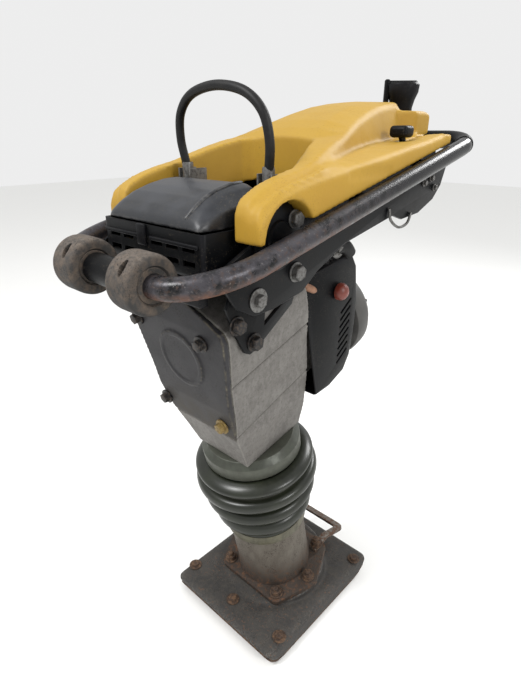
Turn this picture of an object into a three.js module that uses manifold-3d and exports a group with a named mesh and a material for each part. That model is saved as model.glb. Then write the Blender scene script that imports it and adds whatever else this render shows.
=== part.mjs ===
// A jumping jack rammer: a sprung ram foot on a leaning leg, driven by a crankcase and engine,
// steered by a tubular handle that carries the fuel tank, air filter, lifting bail and rollers.
// Millimetres, +Z up. Origin: centre of the sole on the ground. -Y is forward, +Y the operator's side.
import * as THREE from "three";
import { RoundedBoxGeometry } from "three/addons/geometries/RoundedBoxGeometry.js";
import { mergeVertices } from "three/addons/utils/BufferGeometryUtils.js";
import Module from "manifold-3d";

const wasm = await Module();
wasm.setup();

// ---------- driving dimensions ----------
const GAP = 0.3; // clearance left between touching pieces
const LEAN = THREE.MathUtils.degToRad(11.6); // the leg leans forward
const LEG_FOOT = new THREE.Vector3(0, 8, 41); // where the leg's axis meets the top of the shoe

const SHOE_LENGTH = 316;
const SHOE_WIDTH = 267;
const SHOE_TOP = 41;
const SOLE_THICK = 6;

const SEAT_RADIUS = 104; // the round wedge under the flange
const FLANGE_LOW = 22; // distances s are measured up the leg from LEG_FOOT
const FLANGE_HIGH = 33;
const RAM_BORE = 60;
const RAM_WALL = 12.5;
const NECK_WALL = 6; // above the boot's cuff, where the guide ring slides
const RAM_RADIUS = RAM_BORE + RAM_WALL;
const RAM_NECK_RADIUS = RAM_BORE + NECK_WALL;
const STUD_CIRCLE = RAM_RADIUS + 19;
const STUDS = [-46, 0, 46, 134, 180, 226].map((angle) => {
  const turn = THREE.MathUtils.degToRad(angle);
  return [STUD_CIRCLE * Math.cos(turn), STUD_CIRCLE * Math.sin(turn)];
});
const SPRING_WIRE = 5;
const PISTON_TRAVEL = 12; // each way, against the springs
const RAM_TOP = 335;
const STROKE = 65;

const RING_RADIUS = RAM_RADIUS + 14.2;
const RING_LOW = 345;
const CASE_LOW = 382;
const CASE_HIGH = 690;
const CASE_FRONT = -95;
const CASE_BACK = 80;
const COVER_THICK = 10;
const CASE_WALL = 9;

const CRANK_HEIGHT = 585;
const GEAR_TEETH = 31;
const PINION_TEETH = 8;
const GEAR_MODULE = 4;
const CRANK_THROW = STROKE / 2;
const ROD_LENGTH = 110;

const TUBE_RADIUS = 13.5;
const TUBE_HALF_WIDTH = 154;
const TUBE_FRONT = -294;
const TUBE_REAR = 332;
const TUBE_RISE = 0.22;
const TUBE_Z0 = 807.4;
const SLEEVE_RADIUS = 18.5; // round the tube between the rollers
const FRONT_BEND = 94;
const REAR_BEND = 55;

const ROLLER_X = 60;
const ROLLER_RADIUS = 35;
const ROLLER_WIDTH = 45;

const TANK_HALF_WIDTH = 150;
const DECK_HALF_WIDTH = 84;
const DECK_HIGH = 925;
const DECK_END = 312;
const PLATE_X = 118;
const PLATE_THICK = 6;
const BUFFER = { y: -178, z: 709, radius: 17 };

const ENGINE_SHAFT = CRANK_HEIGHT - (GEAR_MODULE * (GEAR_TEETH + PINION_TEETH)) / 2;
const SHROUD_HALF_WIDTH = 88;

const BAIL_FOOT = { x: 78, y: -110, z: 836 };
const BAIL_RADIUS = 6;
const CAP_AT = { x: 36, y: 280 };
const THROTTLE = { x: 106, y: 205, z: 790 };

// ---------- tools ----------
const tubeZ = (y) => TUBE_Z0 + TUBE_RISE * y;
const legMatrix = new THREE.Matrix4()
  .makeRotationX(LEAN)
  .setPosition(LEG_FOOT);

function solidOf(geometry) {
  const bare = geometry.clone();
  bare.deleteAttribute("normal");
  bare.deleteAttribute("uv");
  const g = mergeVertices(bare, 1e-3);
  return new wasm.Manifold(
    new wasm.Mesh({
      numProp: 3,
      vertProperties: new Float32Array(g.attributes.position.array),
      triVerts: new Uint32Array(g.index.array),
    }),
  );
}

function geometryOf(solid) {
  const mesh = solid.getMesh();
  const g = new THREE.BufferGeometry();
  g.setAttribute("position", new THREE.BufferAttribute(new Float32Array(mesh.vertProperties), 3));
  g.setIndex(new THREE.BufferAttribute(new Uint32Array(mesh.triVerts), 1));
  return g;
}

const join = (...parts) => wasm.Manifold.union(parts);
const cut = (solid, ...tools) => (tools.length ? solid.subtract(join(...tools)) : solid);
const moved = (solid, x, y, z) => solid.translate([x, y, z]);

// A box by its low and high corners.
function block(low, high) {
  const g = new THREE.BoxGeometry(high[0] - low[0], high[1] - low[1], high[2] - low[2]);
  g.translate((low[0] + high[0]) / 2, (low[1] + high[1]) / 2, (low[2] + high[2]) / 2);
  return solidOf(g);
}

function roundBlock(low, high, radius, segments = 2) {
  const g = new RoundedBoxGeometry(
    high[0] - low[0],
    high[1] - low[1],
    high[2] - low[2],
    segments,
    radius,
  );
  g.translate((low[0] + high[0]) / 2, (low[1] + high[1]) / 2, (low[2] + high[2]) / 2);
  return solidOf(g);
}

// Polygons are drawn counter-clockwise and extruded along +X, -Y or +Z.
function prism(points, low, high, along, bevel = 0) {
  const shape = new THREE.Shape(points.map(([a, b]) => new THREE.Vector2(a, b)));
  const g = new THREE.ExtrudeGeometry(shape, {
    depth: high - low - 2 * bevel,
    bevelEnabled: bevel > 0,
    bevelSize: bevel,
    bevelOffset: -bevel,
    bevelThickness: bevel,
    bevelSegments: 2,
    curveSegments: 8,
  });
  g.translate(0, 0, low + bevel);
  const m = new THREE.Matrix4();
  if (along === "x") m.set(0, 0, 1, 0, 1, 0, 0, 0, 0, 1, 0, 0, 0, 0, 0, 1);
  if (along === "y") m.set(1, 0, 0, 0, 0, 0, -1, 0, 0, 1, 0, 0, 0, 0, 0, 1);
  g.applyMatrix4(m);
  return solidOf(g);
}

// A closed profile of [radius, height] turned about Z, counter-clockwise from its foot.
function turned(profile, segments = 48) {
  const closed = [...profile, profile[0]].map(([r, h]) => new THREE.Vector2(r, h));
  return solidOf(new THREE.LatheGeometry(closed, segments).rotateX(Math.PI / 2));
}

function rod(radius, low, high, segments = 32, bore = 0) {
  return turned([[bore, low], [radius, low], [radius, high], [bore, high]], segments);
}

const alongX = (solid) => solid.rotate([0, 90, 0]);
const alongY = (solid) => solid.rotate([-90, 0, 0]);

// A round bar along a list of points, with flat ends, or joined end to end.
function sweep(points, radius, sides, closed = false) {
  const n = points.length;
  const positions = [];
  const index = [];
  const at = (i) => points[(i + n) % n];
  let normal = new THREE.Vector3(0, 0, 1);
  for (let i = 0; i < n; i += 1) {
    const before = closed || i > 0 ? at(i - 1) : points[i];
    const after = closed || i < n - 1 ? at(i + 1) : points[i];
    const along = after.clone().sub(before).normalize();
    if (Math.abs(along.dot(normal)) > 0.98) normal = new THREE.Vector3(1, 0, 0);
    const across = along.clone().cross(normal).normalize();
    normal = across.clone().cross(along).normalize();
    for (let k = 0; k < sides; k += 1) {
      const angle = (2 * Math.PI * k) / sides;
      const p = points[i].clone();
      p.addScaledVector(across, radius * Math.cos(angle));
      p.addScaledVector(normal, radius * Math.sin(angle));
      positions.push(p.x, p.y, p.z);
    }
  }
  const rings = closed ? n : n - 1;
  for (let i = 0; i < rings; i += 1) {
    for (let k = 0; k < sides; k += 1) {
      const a = i * sides + k;
      const b = i * sides + ((k + 1) % sides);
      const c = ((i + 1) % n) * sides + k;
      const d = ((i + 1) % n) * sides + ((k + 1) % sides);
      index.push(a, c, b, b, c, d);
    }
  }
  if (!closed) {
    for (let k = 1; k < sides - 1; k += 1) {
      index.push(0, k, k + 1);
      const e = (n - 1) * sides;
      index.push(e, e + k + 1, e + k);
    }
  }
  const g = new THREE.BufferGeometry();
  g.setAttribute("position", new THREE.Float32BufferAttribute(positions, 3));
  g.setIndex(index);
  const solid = solidOf(g);
  if (solid.volume() > 0) return solid;
  for (let i = 0; i < index.length; i += 3) [index[i + 1], index[i + 2]] = [index[i + 2], index[i + 1]];
  g.setIndex(index);
  return solidOf(g);
}

const smooth = (points, count) =>
  new THREE.CatmullRomCurve3(points.map((p) => new THREE.Vector3(...p))).getPoints(count);

// A skin over cross-sections: each is a ring of [x, z] at its y, all with the same count.
function loft(sections) {
  const count = sections[0].ring.length;
  const positions = [];
  const index = [];
  for (const { y, ring } of sections) for (const [x, z] of ring) positions.push(x, y, z);
  for (let i = 0; i < sections.length - 1; i += 1) {
    for (let k = 0; k < count; k += 1) {
      const a = i * count + k;
      const b = i * count + ((k + 1) % count);
      index.push(a, a + count, b, b, a + count, b + count);
    }
  }
  for (const [at, flip] of [[0, false], [sections.length - 1, true]]) {
    const contour = sections[at].ring.map(([x, z]) => new THREE.Vector2(x, z));
    for (const [a, b, c] of THREE.ShapeUtils.triangulateShape(contour, [])) {
      const base = at * count;
      index.push(base + a, base + (flip ? c : b), base + (flip ? b : c));
    }
  }
  const g = new THREE.BufferGeometry();
  g.setAttribute("position", new THREE.Float32BufferAttribute(positions, 3));
  g.setIndex(index);
  const solid = solidOf(g);
  if (solid.volume() > 0) return solid;
  for (let i = 0; i < index.length; i += 3) [index[i + 1], index[i + 2]] = [index[i + 2], index[i + 1]];
  g.setIndex(index);
  return solidOf(g);
}

// ---------- materials ----------
const paint = (color, metalness, roughness) => ({ color, metalness, roughness });
const STEEL = paint(0x6a4a38, 0.7, 0.7);
const CASTING = paint(0x8f8d88, 0.6, 0.6);
const BLACK = paint(0x1b1c1e, 0.2, 0.55);
const RUBBER = paint(0x3a3d33, 0, 0.6);
const YELLOW = paint(0xe0a92c, 0, 0.55);
const BRIGHT = paint(0x9a9a98, 0.9, 0.4);

const root = new THREE.Group();
root.name = "rammer";

function add(name, solid, look) {
  const mesh = new THREE.Mesh(geometryOf(solid), new THREE.MeshStandardMaterial(look));
  mesh.geometry.computeVertexNormals();
  mesh.name = name;
  root.add(mesh);
}

// The handle is drawn for a case this high, and moves up the leg with a taller one.
const DRAWN_CASE_HIGH = 690;
const HANDLE_SHIFT = new THREE.Vector3(0, -Math.sin(LEAN), Math.cos(LEAN)).multiplyScalar(
  CASE_HIGH - DRAWN_CASE_HIGH,
);

function addOnHandle(name, solid, look) {
  add(name, solid.translate(HANDLE_SHIFT.toArray()), look);
}

// A piece drawn in the leg's own frame: x across, y backwards, z up the leg.
function addOnLeg(name, solid, look) {
  add(name, solid.transform(legMatrix.toArray()), look);
}

// ---------- foot ----------
function soleProfile(drop) {
  const half = SHOE_LENGTH / 2;
  const under = [[-half, 24], [-half + 8, 13], [-half + 24, 3], [-half + 42, 0]];
  const back = [[half - 42, 0], [half - 24, 3], [half - 8, 13], [half, 24]];
  return [...under, ...back].map(([y, z]) => [y, z + drop]);
}

function makeSole() {
  const low = soleProfile(0);
  const high = soleProfile(SOLE_THICK).reverse();
  const pan = prism([...low, ...high], -SHOE_WIDTH / 2, SHOE_WIDTH / 2, "x");
  return pan.intersect(prism(shoePlan(2), -5, 60, "z"));
}

// The shoe's outline from above, with rounded corners, drawn in by a little where asked.
function shoePlan(inset) {
  const wide = SHOE_WIDTH / 2 - inset;
  const long = SHOE_LENGTH / 2 - inset;
  const corner = (sx, sy, r) =>
    [0, 30, 60, 90].map((angle) => {
      const a = THREE.MathUtils.degToRad(sx * sy > 0 ? angle : 90 - angle);
      return [sx * (wide - r + r * Math.cos(a)), sy * (long - r + r * Math.sin(a))];
    });
  return [...corner(1, 1, 6), ...corner(-1, 1, 6), ...corner(-1, -1, 16), ...corner(1, -1, 16)];
}

// The shoe: a thick composite pan with a wedge that carries the leaning flange.
function makeShoe() {
  const half = SHOE_LENGTH / 2;
  const low = soleProfile(SOLE_THICK + GAP);
  const nose = [
    [-half + 24, SHOE_TOP], [-half + 14, SHOE_TOP - 0.8], [-half + 6, SHOE_TOP - 3], [-half + 2, SHOE_TOP - 6],
    [-half, SHOE_TOP - 9],
  ];
  const pan = prism([...low, [half, 39], [half - 6, SHOE_TOP], ...nose], -SHOE_WIDTH / 2, SHOE_WIDTH / 2, "x");
  const wide = SHOE_WIDTH / 2;
  const right = [[wide, -1], [wide, 30], [wide - 2, 35], [wide - 6, 38.5], [wide - 14, SHOE_TOP]];
  const rounded = prism([...right, ...right.map(([x, z]) => [-x, z]).reverse()], -half - 1, half + 1, "y");
  const body = pan.intersect(rounded).intersect(prism(shoePlan(0), -5, 60, "z"));
  const seat = rod(SEAT_RADIUS, -60, FLANGE_LOW - GAP, 48).transform(legMatrix.toArray());
  return join(body, seat.intersect(block([-108, -124, 20], [108, 128, 120])));
}

function makeRam() {
  const outline = STUDS.map(([x, v]) => moved(rod(18, FLANGE_LOW, FLANGE_HIGH, 24), x, v, 0));
  const flange = wasm.Manifold.hull(outline);
  const barrel = turned([
    [0, FLANGE_LOW],
    [RAM_RADIUS + 11.5, FLANGE_LOW],
    [RAM_RADIUS + 11.5, FLANGE_HIGH],
    [RAM_RADIUS + 2.5, FLANGE_HIGH],
    [RAM_RADIUS + 2.5, FLANGE_HIGH + 12],
    [RAM_RADIUS, FLANGE_HIGH + 20],
    [RAM_RADIUS, 189],
    [RAM_NECK_RADIUS, 189],
    [RAM_NECK_RADIUS, RAM_TOP],
    [0, RAM_TOP],
  ], 56);
  return cut(join(flange, barrel), rod(RAM_BORE, 42, RAM_TOP + 1, 48));
}

function makeBolt(head, washer, base, rise) {
  return join(
    rod(washer, base, base + 2.6, 20),
    rod(head, base + 2, base + 12, 6),
    rod(5.5, base + 8, base + 12 + rise, 12),
  );
}

function makePlowBolt(base) {
  return join(rod(13, base, base + 2.4, 24), rod(8, base + 2, base + 6.5, 6));
}

// A bent flat bar under the two rear flange nuts, used to pull and lift the foot.
function makeTowLoop() {
  const eye = (RAM_RADIUS + 2.5) * Math.sqrt(0.5) + 4; // inner half width, clear of the barrel's foot
  const wide = eye + 14;
  const round = [[wide, 140], [wide - 2, 148], [wide - 7, 154], [wide - 15, 157]];
  const outer = [[-wide, 52], [wide, 52], ...round, ...round.map(([x, v]) => [-x, v]).reverse()];
  const inner = [[-eye, 51], [eye, 51], [eye, 134], [eye - 6, 140], [6 - eye, 140], [-eye, 134]];
  const plan = cut(prism(outer, 0, 200, "z"), prism(inner, -1, 201, "z"));
  const low = FLANGE_HIGH + GAP;
  const side = [[44, low], [94, low], [170, -8], [170, 1], [95, low + 8], [44, low + 8]];
  const bar = prism(side, -80, 80, "x");
  return plan.intersect(bar);
}

function makeSpring(radius, wire, low, high, turns) {
  const points = [];
  const steps = turns * 11;
  for (let i = 0; i <= steps; i += 1) {
    const angle = (2 * Math.PI * i) / 11;
    const height = low + wire + ((high - low - 2 * wire) * i) / steps;
    points.push(new THREE.Vector3(radius * Math.cos(angle), radius * Math.sin(angle), height));
  }
  return sweep(points, wire, 6);
}

const PISTON_LOW = 165;
const PISTON_HIGH = 180;
const CAP_LOW = 320;
const RAM_FLOOR = 42;

function makePiston() {
  const rodTop = CRANK_HEIGHT - CRANK_THROW - ROD_LENGTH - 16 - PISTON_TRAVEL - 1;
  return join(rod(RAM_BORE - 0.6, PISTON_LOW, PISTON_HIGH, 40), rod(12, PISTON_HIGH - 1, rodTop, 24));
}

// ---------- bellows ----------
// Each point: how far outside the ram's barrel, and how far up the leg.
const outsideRam = (points) => points.map(([out, s]) => [RAM_RADIUS + out, s]);
const FOLDS = outsideRam([
  [4.5, 168], [4.5, 188], [1.9, 194], [1.9, 200], [11.5, 204], [18.5, 212], [19.5, 221],
  [15.5, 230], [7.5, 236], [7.5, 243], [19.5, 247], [28.5, 254], [30.5, 262], [25.5, 271],
  [14.5, 276], [14.5, 284], [27.5, 288], [36.5, 294], [38.1, 303], [33.5, 311], [22.8, 315],
  [22.8, 322], [31.5, 326], [33.5, 334], [25.5, 341], [15.5, 344.7],
]);

function makeBellows() {
  const inner = outsideRam([
    [GAP, 168], [GAP, 189], [-1.3, 194], [-1.3, 200], [15.5, 218], [4, 237], [4, 243], [25.5, 261], [10.5, 278],
    [10.5, 284], [33.5, 302], [19, 316], [19, 322], [28.5, 333], [12.5, 344.7],
  ]);
  return turned([...FOLDS, ...inner.reverse()], 40);
}

function makeGuideRing() {
  return turned([
    [RAM_NECK_RADIUS + GAP, 225],
    [RAM_NECK_RADIUS + 4, 225],
    [RAM_NECK_RADIUS + 4, RING_LOW],
    [RING_RADIUS - 4, RING_LOW],
    [RING_RADIUS, RING_LOW + 4],
    [RING_RADIUS, CASE_LOW - 11],
    [RING_RADIUS - 7, CASE_LOW - 6],
    [RING_RADIUS - 10, CASE_LOW - GAP],
    [50, CASE_LOW - GAP],
    [50, RAM_TOP + 8],
    [RAM_NECK_RADIUS + GAP, RAM_TOP + 8],
  ], 56);
}

// ---------- crankcase ----------
const CASE_OUTLINE = [
  [-58, CASE_LOW], [58, CASE_LOW], [67, 430], [79, 502], [84, 556], [96, CASE_HIGH - 70],
  [99, CASE_HIGH - 45], [94, CASE_HIGH - 34], [58, CASE_HIGH - 16], [22, CASE_HIGH], [-22, CASE_HIGH],
  [-58, CASE_HIGH - 16], [-94, CASE_HIGH - 34], [-99, CASE_HIGH - 45], [-96, CASE_HIGH - 70],
  [-84, 556], [-79, 502], [-67, 430],
];
const CASE_SIDE = [
  [-66, CASE_LOW], [66, CASE_LOW], [76, 420], [CASE_BACK, 480], [CASE_BACK, CASE_HIGH - 90], [66, CASE_HIGH],
  [-88, CASE_HIGH], [CASE_FRONT, CASE_HIGH - 40], [CASE_FRONT, 520], [-88, 470], [-76, 425],
];

const shrunk = (points, by, centre) =>
  points.map(([a, b]) => [a - Math.sign(a) * by, b + (b > centre ? -by : by)]);

function caseShape() {
  const front = prism(CASE_OUTLINE, -130, 130, "y");
  const side = prism(CASE_SIDE, -130, 130, "x");
  return front.intersect(side);
}

// Grooves and a blank pad cast into each side wall.
function sideGroove(from, to) {
  const length = Math.hypot(to[0] - from[0], to[1] - from[1]);
  const tilt = THREE.MathUtils.radToDeg(Math.atan2(to[1] - from[1], to[0] - from[0]));
  const bar = block([-130, 0, -2.5], [130, length, 2.5]).rotate([tilt, 0, 0]);
  return moved(bar, 0, from[0], from[1]);
}

function makeCrankcase() {
  const shell = caseShape().intersect(block([-130, CASE_FRONT + COVER_THICK + GAP, 300], [130, 130, CASE_HIGH + 30]));
  const inside = prism(shrunk(CASE_OUTLINE, CASE_WALL, 500), -70, 130, "y");
  const room = inside.intersect(prism(shrunk(CASE_SIDE, CASE_WALL, 500), -130, 130, "x"));
  const mouth = prism(shrunk(CASE_OUTLINE, CASE_WALL + 3, 500), 60, 130, "y").intersect(
    block([-130, -130, 505], [130, -60, CASE_HIGH - 18]),
  );
  const core = caseShape().scale([(99 - 3) / 99, 1, 1]);
  const grooves = join(
    sideGroove([-100, 561], [100, 586]),
    sideGroove([-100, 464], [100, 496]),
  ).subtract(core);
  return cut(shell, room, mouth, rod(44, 360, 420, 32), grooves);
}

function makeFrontCover() {
  const plate = caseShape().intersect(block([-130, -130, 300], [130, CASE_FRONT + COVER_THICK, CASE_HIGH + 30]));
  const badge = alongY(rod(45, 0, 3.4, 40, 38)).translate([0, CASE_FRONT - 2.6, 592]);
  const boss = alongY(rod(38.5, 0, 2, 40)).translate([0, CASE_FRONT - 1.2, 592]);
  return join(plate, badge, boss);
}

const COVER_BOLTS = [[56, CASE_HIGH - 56], [-85, CASE_HIGH - 54], [-72, 492], [58, 492]];

function makeCoverBolt(x, s) {
  const front = CASE_FRONT - (s < 520 ? -1.6 : 0) - GAP;
  const head = join(rod(12, 0, 3, 20), rod(8.5, 2.5, 10, 6));
  return head.rotate([90, 0, 0]).translate([x, front, s]);
}

// ---------- drive ----------
function toothed(teeth, tip, low, high) {
  const points = [];
  for (let i = 0; i < teeth * 2; i += 1) {
    const angle = (Math.PI * (i + 0.5)) / teeth;
    const r = i % 2 ? tip - 3.4 : tip;
    const half = Math.PI / teeth / 4;
    for (const side of [-half, half]) points.push([r * Math.cos(angle + side), r * Math.sin(angle + side)]);
  }
  return prism(points, -high, -low, "y");
}

const GEAR_TIP = (GEAR_MODULE * GEAR_TEETH) / 2 - 0.3;
const PINION_TIP = (GEAR_MODULE * PINION_TEETH) / 2 - 0.1;
const rodAlongY = (radius, low, high, segments) => alongY(rod(radius, low, high, segments));

function makeCrankGear() {
  const gear = toothed(GEAR_TEETH, GEAR_TIP, 22, 34);
  const windows = [60, 120, 180, 240, 300].map((a) => {
    const t = THREE.MathUtils.degToRad(a - 90);
    return moved(rodAlongY(11, 20, 36, 16), 38 * Math.cos(t), 0, 38 * Math.sin(t));
  });
  const pin = moved(rodAlongY(11, -12, 24, 20), 0, 0, -CRANK_THROW);
  return moved(join(cut(gear, ...windows), rodAlongY(13, 30, 68, 20), pin), 0, 0, CRANK_HEIGHT);
}

function makeRod() {
  const pinHeight = CRANK_HEIGHT - CRANK_THROW;
  const big = moved(rodAlongY(20, -9, 9, 24), 0, 0, pinHeight);
  const small = moved(rodAlongY(16, -9, 9, 20), 0, 0, pinHeight - ROD_LENGTH);
  const shank = block([-8, -5, pinHeight - ROD_LENGTH], [8, 5, pinHeight]);
  return cut(
    join(big, small, shank),
    moved(rodAlongY(11 + GAP, -12, 12, 24), 0, 0, pinHeight),
    moved(rodAlongY(8, -12, 12, 20), 0, 0, pinHeight - ROD_LENGTH),
  );
}

function makePinion() {
  const drum = rodAlongY(38, 46, 66, 32);
  const shaft = rodAlongY(9, 20, 50, 20);
  return moved(join(toothed(PINION_TEETH, PINION_TIP, 20, 36), shaft, drum), 0, 0, ENGINE_SHAFT);
}

// ---------- engine ----------
function makeEngine() {
  const block0 = roundBlock([-50, CASE_BACK + GAP, 455], [50, 162, 560], 8);
  const barrel = moved(rod(34, 0, 84, 28), 0, 145, 556);
  const fins = [0, 1, 2, 3, 4].map((i) => block([-52, 100, 566 + 14 * i], [52, 190, 569 + 14 * i]));
  return join(block0, barrel, ...fins);
}

const SHROUD_SIDE = [
  [84, 440], [122, 436], [165, 444], [186, 466], [206, 520], [215, 560], [218, 622], [206, 650], [90, 655],
  [81, 600],
];

function makeShroud() {
  const outer = prism(SHROUD_SIDE, -SHROUD_HALF_WIDTH, SHROUD_HALF_WIDTH, "x", 6);
  const inner = prism(shrunk(SHROUD_SIDE, 3.5, 550), -SHROUD_HALF_WIDTH + 3.5, SHROUD_HALF_WIDTH - 3.5, "x");
  const mouth = block([-70, 70, 446], [70, 110, 640]);
  const slots = [];
  for (let i = 0; i < 8; i += 1) {
    const bar = block([-120, -17, -2.4], [120, 17, 2.4]).rotate([24, 0, 0]);
    slots.push(moved(bar, 0, 160 + 3 * i, 478 + 12.5 * i));
  }
  const starterHole = moved(rodAlongY(58, 150, 240, 32), 0, 0, ENGINE_SHAFT);
  return cut(outer, inner, mouth, starterHole, ...slots);
}

function makeStarter() {
  const dome = turned([
    [0, -26], [56, -26], [56, 0], [86, 0], [88, 8], [86, 30], [78, 44], [58, 56], [40, 62], [0, 63],
  ], 40);
  return alongY(dome).translate([0, 219, ENGINE_SHAFT]);
}

function makeStarterGrip() {
  const bar = roundBlock([-34, 0, -9], [34, 20, 9], 7);
  const stem = rodAlongY(7, -9, 4, 16);
  return join(bar, stem).translate([-46, 286, ENGINE_SHAFT + 44]);
}

function makeMuffler() {
  const can = roundBlock([-142, 96, 476], [-SHROUD_HALF_WIDTH - GAP, 186, 600], 12, 3);
  const outlet = alongX(rod(11, -20, 4, 20)).translate([-140, 118, 500]);
  return join(can, outlet);
}

// ---------- brackets and plates ----------
const BRACKET = [
  [-212, 700], [-200, 668], [-182, 634], [-172, 629], [-160, 633], [-90, 678], [-84, 692], [-100, 712],
  [-140, 728], [-200, 730],
];
const BRACKET_WINDOW = [[-146, 662], [-106, 686], [-116, 702], [-142, 706]];

function makeBracket(side) {
  const plate = prism(BRACKET, 99 + GAP, 105, "x", 1);
  const holed = cut(plate, prism(BRACKET_WINDOW, 90, 115, "x"));
  return side > 0 ? holed : holed.mirror([1, 0, 0]);
}

const PLATE_LOW = [
  [-236, 742], [-214, 706], [-186, 690], [-150, 690], [-92, 700], [-60, 722], [0, 749], [130, 773],
  [160, 764], [215, 768], [264, 786], [288, 808], [300, 836],
];

function makeSidePlate(side) {
  const top = [[300, 846], [256, 836], [250, tubeZ(250) + 13], [-190, tubeZ(-190) + 10], [-232, tubeZ(-232)]];
  const plate = prism([...PLATE_LOW, ...top], PLATE_X, PLATE_X + PLATE_THICK, "x", 1.2);
  const reach = TUBE_HALF_WIDTH - TUBE_RADIUS - GAP;
  const lugs = [-150, 20, 190].map((y) =>
    block([PLATE_X + 2, y - 16, tubeZ(y) - 5], [reach, y + 16, tubeZ(y) + 4]),
  );
  const whole = join(plate, ...lugs);
  return side > 0 ? whole : whole.mirror([1, 0, 0]);
}

function makeBuffer(side) {
  const low = 105 + GAP;
  const high = PLATE_X - GAP;
  const body = alongX(
    turned([[0, low], [BUFFER.radius, low], [BUFFER.radius - 3, (low + high) / 2], [BUFFER.radius, high], [0, high]], 24),
  );
  const placed = moved(body, 0, BUFFER.y, BUFFER.z);
  return side > 0 ? placed : placed.mirror([1, 0, 0]);
}

// ---------- handle ----------
function handlePath() {
  const flat = [];
  const arc = (cx, cy, rx, ry, from, to, steps) => {
    for (let i = 0; i <= steps; i += 1) {
      const a = THREE.MathUtils.degToRad(from + ((to - from) * i) / steps);
      flat.push([cx + rx * Math.cos(a), cy + ry * Math.sin(a)]);
    }
  };
  const fx = ROLLER_X + ROLLER_WIDTH / 2 + 2;
  const fy = TUBE_FRONT + FRONT_BEND;
  const wide = TUBE_HALF_WIDTH - fx;
  const bx = TUBE_HALF_WIDTH - REAR_BEND;
  const by = TUBE_REAR - REAR_BEND;
  arc(fx, fy, wide, FRONT_BEND, -90, 0, 9);
  arc(bx, by, REAR_BEND, REAR_BEND, 0, 90, 8);
  arc(-bx, by, REAR_BEND, REAR_BEND, 90, 180, 8);
  arc(-fx, fy, wide, FRONT_BEND, 180, 270, 9);
  return flat.map(([x, y]) => new THREE.Vector3(x, y, tubeZ(y)));
}

function makeHandleTube() {
  const reach = ROLLER_X - ROLLER_WIDTH / 2 - 0.8;
  const sleeve = alongX(rod(SLEEVE_RADIUS, -reach, reach, 28)).translate([0, TUBE_FRONT, tubeZ(TUBE_FRONT)]);
  return join(sweep(handlePath(), TUBE_RADIUS, 16, true), sleeve);
}

function makeRoller(side) {
  const half = ROLLER_WIDTH / 2;
  const bore = TUBE_RADIUS + 0.5;
  const profile = [
    [bore, -half + 2], [20, -half + 2], [23, -half], [30, -half], [34, -half + 4], [ROLLER_RADIUS, -half + 10],
    [ROLLER_RADIUS, half - 10], [34, half - 4], [30, half], [23, half], [20, half - 2], [bore, half - 2],
  ];
  return alongX(turned(profile, 32)).translate([side * ROLLER_X, TUBE_FRONT, tubeZ(TUBE_FRONT)]);
}

// ---------- tank and hood ----------
// Each row: y, crease height, foot of the scoop wall (x, z), top of the wall (x, z), ridge height.
const TANK_ROWS = [
  [-200, 800, 144, 805, 128, 808, 809],
  [-197, 808, 145, 814, 130, 818, 819],
  [-190, 815, 146, 821, 130, 826, 828],
  [-176, 823, 146, 829, 130, 833, 835],
  [-161, 831, 146, 836, 130, 839, 841],
  [-135, 838, 146, 843, 130, 846, 847],
  [-99, 844.5, 145, 850, 130, 853, 854],
  [-73, 848, 138, 856, 126, 862, 866],
  [-40, 852, 126, 859, 117, 873, 878],
  [-15, 855, 117, 862, 110, 880, 884],
  [5, 858, 110, 865, 104, 884, 887],
  [22, 860.5, 104, 867, 99, 889, 899],
  [45, 863, 97, 870, 92, 897, 910],
  [80, 868, 88, 873, 81, 908, 921],
  [120, 874, 82, 877, 72, 919, 931],
  [160, 879, 78, 879, 65, 928, 937],
  [190, 884, 76, 881, 62, 932, 939],
  [226, 890, 74, 884, 59, 936, 940],
  [231, 889, 74, 885, 58, 933, 938],
];

const tankFloor = (y) => TUBE_Z0 + TUBE_RADIUS + 1.3 + TUBE_RISE * y;

function hoodRing([y, crease, footX, footZ, wallX, wallZ, ridge]) {
  const half = [
    [TANK_HALF_WIDTH, tankFloor(y)],
    [TANK_HALF_WIDTH, crease - 5],
    [TANK_HALF_WIDTH - 6, crease + 1],
    [footX, footZ],
    [wallX + 2, wallZ - 6],
    [wallX - 4, wallZ + 1.5],
    [wallX * 0.55, ridge - 1.5],
  ];
  const left = half.map(([x, z]) => [-x, z]).reverse();
  return [...half, [0, ridge], ...left];
}

function deckPart() {
  const end = DECK_END;
  const side = [
    [220, tankFloor(220)], [end - 6, tankFloor(end)], [end, tankFloor(end) + 10], [end, 904], [end - 6, 916],
    [end - 18, DECK_HIGH - 2], [end - 30, DECK_HIGH], [220, DECK_HIGH],
  ];
  const wide = DECK_HALF_WIDTH;
  const right = [[wide - 28, 200], [wide, 250], [wide, end - 16], [wide - 14, end + 5]];
  const plan = [...right, ...right.map(([x, y]) => [-x, y]).reverse()];
  return prism(side, -wide, wide, "x", 5).intersect(prism(plan, 800, 1000, "z"));
}

// The shoulders run on a little past the ridge and stop ahead of the rear bar.
function shoulderEnd() {
  const plan = [[70, 225], [TANK_HALF_WIDTH, 225], [TANK_HALF_WIDTH, 244], [143, 252], [118, 254], [70, 254]];
  const side = [[220, tankFloor(220)], [256, tankFloor(256)], [256, 890], [226, 889], [220, 888]];
  const right = prism(plan, 800, 930, "z").intersect(prism(side, 60, 160, "x"));
  return join(right, right.mirror([1, 0, 0]));
}

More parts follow.
